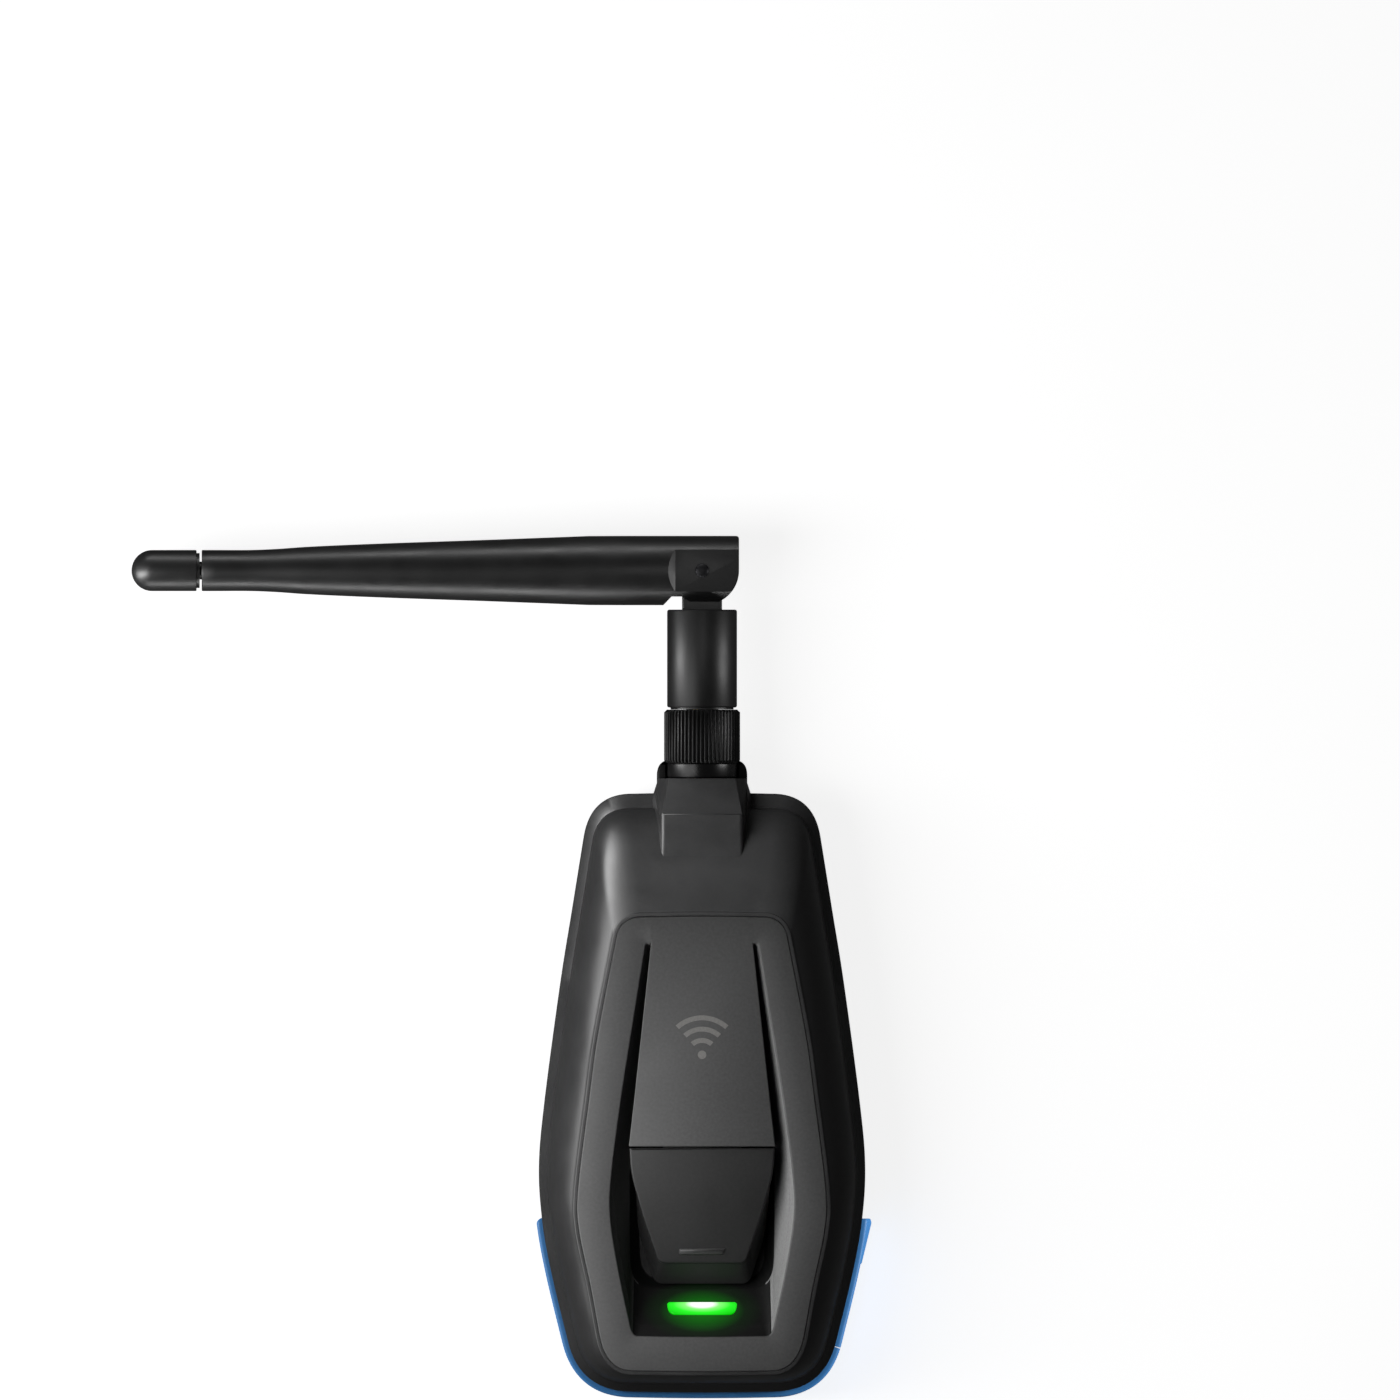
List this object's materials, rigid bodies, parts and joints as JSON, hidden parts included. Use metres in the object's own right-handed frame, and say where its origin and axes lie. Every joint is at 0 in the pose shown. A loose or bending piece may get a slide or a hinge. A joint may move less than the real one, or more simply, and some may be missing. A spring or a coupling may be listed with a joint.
{
  "type": "usb wifi adapter",
  "caption": "Tapered wireless adapter lying on its back, with a sloping button over a lit well, a blue bumper with a hinged port door, and a folding antenna on a screwed socket.",
  "frame": {"origin": "middle of the flat back of the casing, on the casing's centre line", "axes": "+Z out of the face, +Y towards the antenna end, +X to the port door side"},
  "size_m": [0.1081, 0.126, 0.0215],
  "materials": {
    "shell_black": "fine spark-eroded texture, satin",
    "frame_grey": "fine spark-eroded texture, satin",
    "well_black": "satin",
    "button_dark": "satin",
    "light_green": "translucent, lit from behind",
    "rubber_blue": "smooth, satin",
    "antenna_black": "fine matte grain",
    "nut_black": "satin, ridged",
    "steel_black": "black zinc, satin",
    "steel": "satin",
    "brass": "gold plated, polished",
    "copper": "drawn wire",
    "board_green": "solder mask",
    "chip_black": "moulded epoxy",
    "ptfe_white": "waxy",
    "cable_black": "extruded jacket"
  },
  "bodies": {
    "housing": {"top_shell": "shell_black", "face_frame": "frame_grey", "well_tray": "well_black", "light_pipe": "light_green", "back_cover": "shell_black", "bumper_strip": "rubber_blue", "casing_screw_1": "steel_black", "casing_screw_2": "steel_black", "casing_screw_3": "steel_black", "casing_screw_4": "steel_black", "button_pin": "steel", "main_board": "board_green", "shield_can": "steel", "radio_chip": "chip_black", "memory_chip": "chip_black", "clock_crystal": "steel", "usb_shell": "steel", "usb_contacts": "chip_black", "switch_body": "chip_black", "switch_plunger": "button_dark", "led_chip": "ptfe_white", "coax_pigtail": "cable_black", "pigtail_plug": "brass", "socket_barrel": "brass", "socket_insulator": "ptfe_white", "socket_pin": "brass"},
    "button": {"button_paddle": "button_dark"},
    "port_door": {"port_door": "rubber_blue"},
    "antenna_plug": {"plug_body": "brass", "plug_contact": "brass"},
    "coupling_nut": {"coupling_nut": "nut_black"},
    "antenna_base": {"knuckle": "antenna_black"},
    "antenna_mast": {"mast_sheath": "antenna_black", "tip_cap": "antenna_black", "hinge_pin": "steel_black", "radiator_rod": "copper", "radiator_tube": "brass"}
  },
  "joints": [
    {"name": "button_press", "type": "hinge", "parent": "housing", "child": "button", "pos_m": [0, -0.0045, 0.0172], "axis": [1, 0, 0], "range_deg": [0, 1.6], "stiffness_Nm_per_rad": 1},
    {"name": "door_swing", "type": "hinge", "parent": "housing", "child": "port_door", "pos_m": [0.0204, -0.0371, 0.006], "axis": [0, 0, -1], "range_deg": [0, 100]},
    {"name": "antenna_unscrew", "type": "slide", "parent": "housing", "child": "antenna_plug", "axis": [0, 1, 0], "range_m": [0, 0.00423]},
    {"name": "nut_turn", "type": "hinge", "parent": "antenna_plug", "child": "coupling_nut", "pos_m": [0, 0.052, 0.0105], "axis": [0, 1, 0], "range_deg": [0, 2160]},
    {"name": "antenna_swivel", "type": "hinge", "parent": "antenna_plug", "child": "antenna_base", "pos_m": [0, 0.062, 0.0105], "axis": [0, 1, 0], "continuous": true},
    {"name": "antenna_tilt", "type": "hinge", "parent": "antenna_base", "child": "antenna_mast", "pos_m": [0, 0.0761, 0.0105], "axis": [0, 0, -1], "range_deg": [0, 90]}
  ],
  "couplings": [
    {"joint": "nut_turn", "follows": "antenna_unscrew", "rad_per_m": 8905.3}
  ]
}
